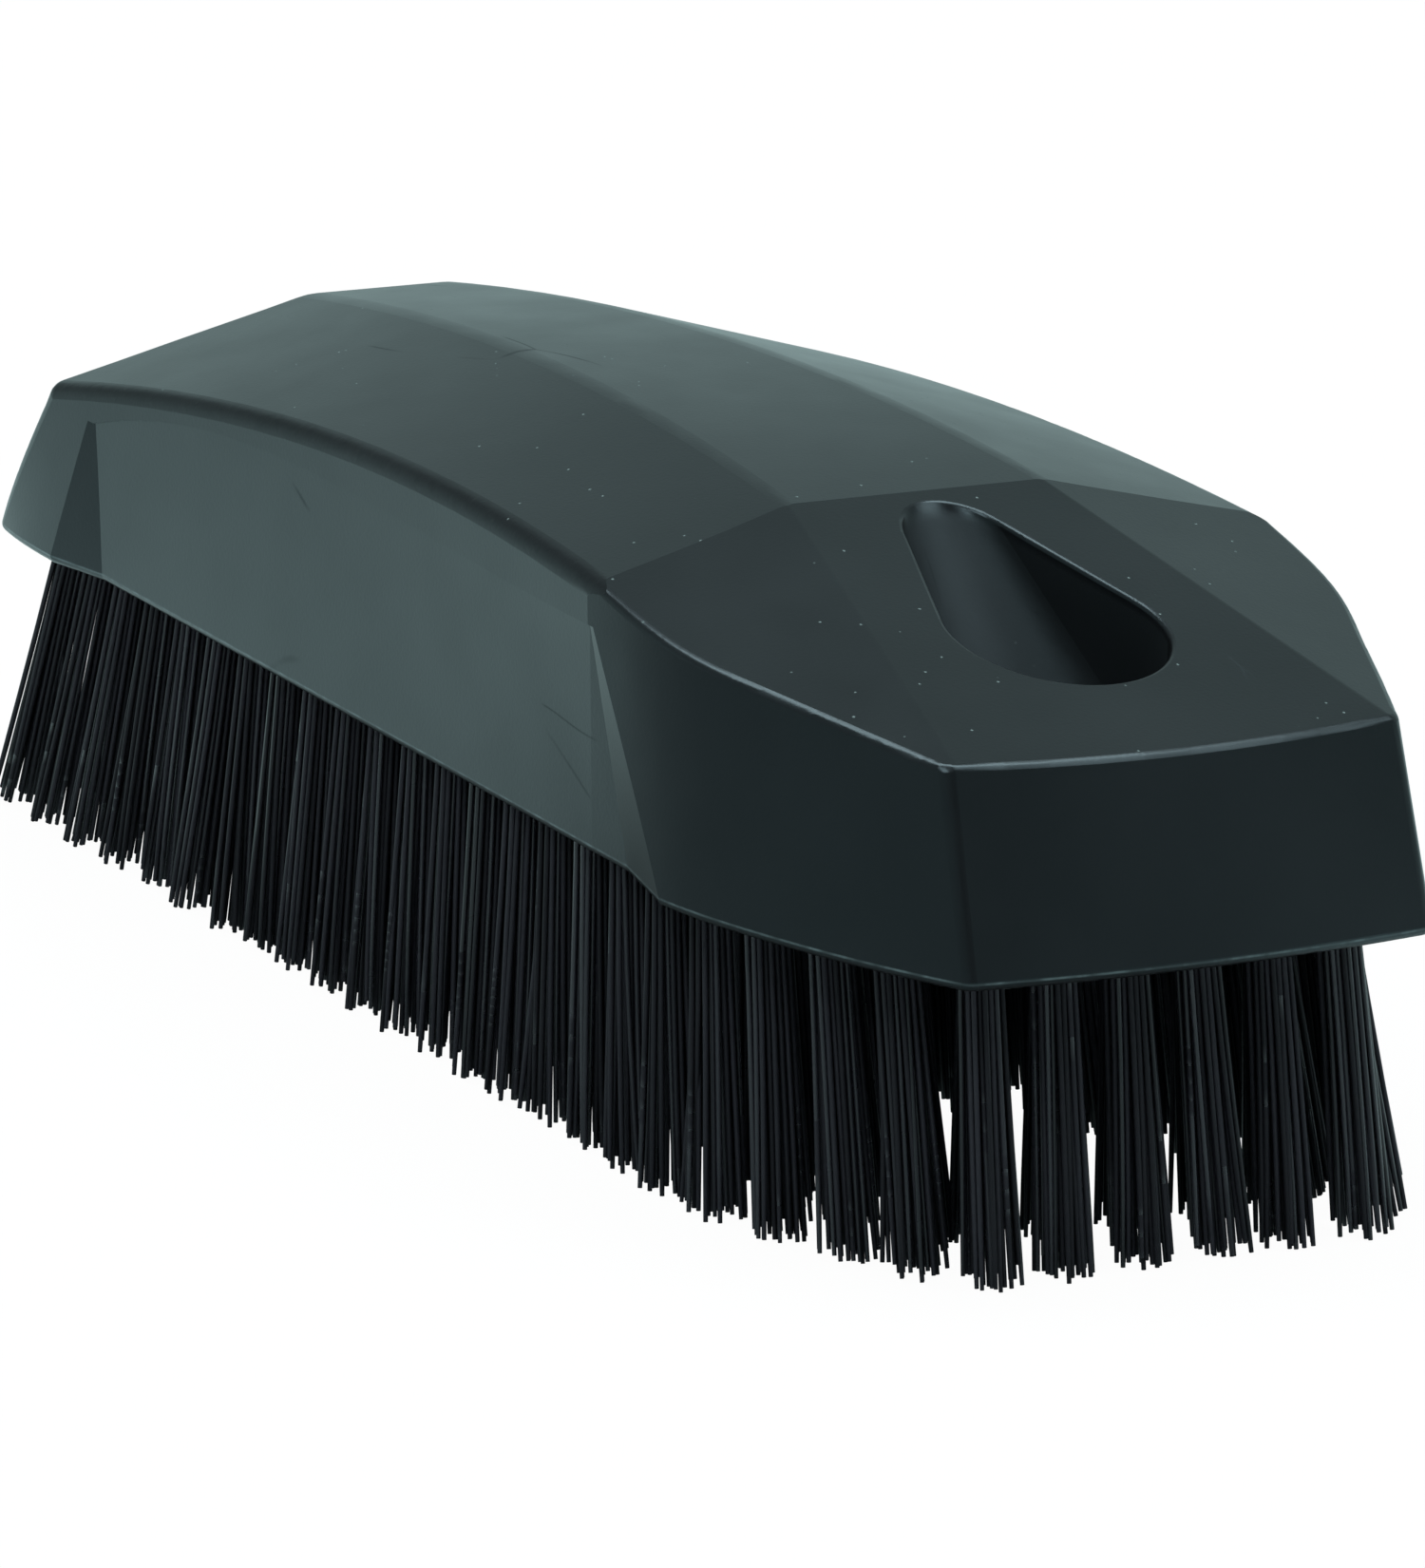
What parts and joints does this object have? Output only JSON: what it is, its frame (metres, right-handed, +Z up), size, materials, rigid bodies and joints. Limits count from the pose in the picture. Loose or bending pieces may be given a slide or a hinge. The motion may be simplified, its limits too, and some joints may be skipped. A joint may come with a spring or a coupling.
{
  "type": "hand wheel brush",
  "caption": "Hand-held wheel brush: a faceted moulded block with finger grips and a hanging hole, set with tufts of stiff black bristle.",
  "frame": {"origin": "on the floor under the middle of the brush's bounding box; the brush stands on its bristle tips at z = 0", "axes": "+X points at the nose with the hanging hole, +Y to the left seen from the tail, +Z up through the back of the block"},
  "size_m": [0.1195, 0.0485, 0.04],
  "materials": {
    "black_polypropylene": "satin injection moulding",
    "bristle_filament": "drawn polyester filament, glossy along its length",
    "stainless_steel": "cut from drawn strip"
  },
  "bodies": {
    "root": {"bristle_row_01": "bristle_filament", "bristle_row_02": "bristle_filament", "bristle_row_03": "bristle_filament", "bristle_row_04": "bristle_filament", "bristle_row_05": "bristle_filament", "bristle_row_06": "bristle_filament", "bristle_row_07": "bristle_filament", "bristle_row_08": "bristle_filament", "bristle_row_09": "bristle_filament", "bristle_row_10": "bristle_filament", "bristle_row_11": "bristle_filament", "bristle_row_12": "bristle_filament", "bristle_row_13": "bristle_filament", "bristle_row_14": "bristle_filament", "bristle_row_15": "bristle_filament", "bristle_row_16": "bristle_filament", "bristle_row_17": "bristle_filament", "bristle_row_18": "bristle_filament", "bristle_row_19": "bristle_filament", "bristle_row_20": "bristle_filament", "bristle_row_21": "bristle_filament", "bristle_row_22": "bristle_filament", "bristle_row_23": "bristle_filament", "bristle_row_24": "bristle_filament", "brush_block": "black_polypropylene", "staple_row_01": "stainless_steel", "staple_row_02": "stainless_steel", "staple_row_03": "stainless_steel", "staple_row_04": "stainless_steel", "staple_row_05": "stainless_steel", "staple_row_06": "stainless_steel", "staple_row_07": "stainless_steel", "staple_row_08": "stainless_steel", "staple_row_09": "stainless_steel", "staple_row_10": "stainless_steel", "staple_row_11": "stainless_steel", "staple_row_12": "stainless_steel", "staple_row_13": "stainless_steel", "staple_row_14": "stainless_steel", "staple_row_15": "stainless_steel", "staple_row_16": "stainless_steel", "staple_row_17": "stainless_steel", "staple_row_18": "stainless_steel", "staple_row_19": "stainless_steel", "staple_row_20": "stainless_steel", "staple_row_21": "stainless_steel", "staple_row_22": "stainless_steel", "staple_row_23": "stainless_steel", "staple_row_24": "stainless_steel"}
  },
  "joints": []
}
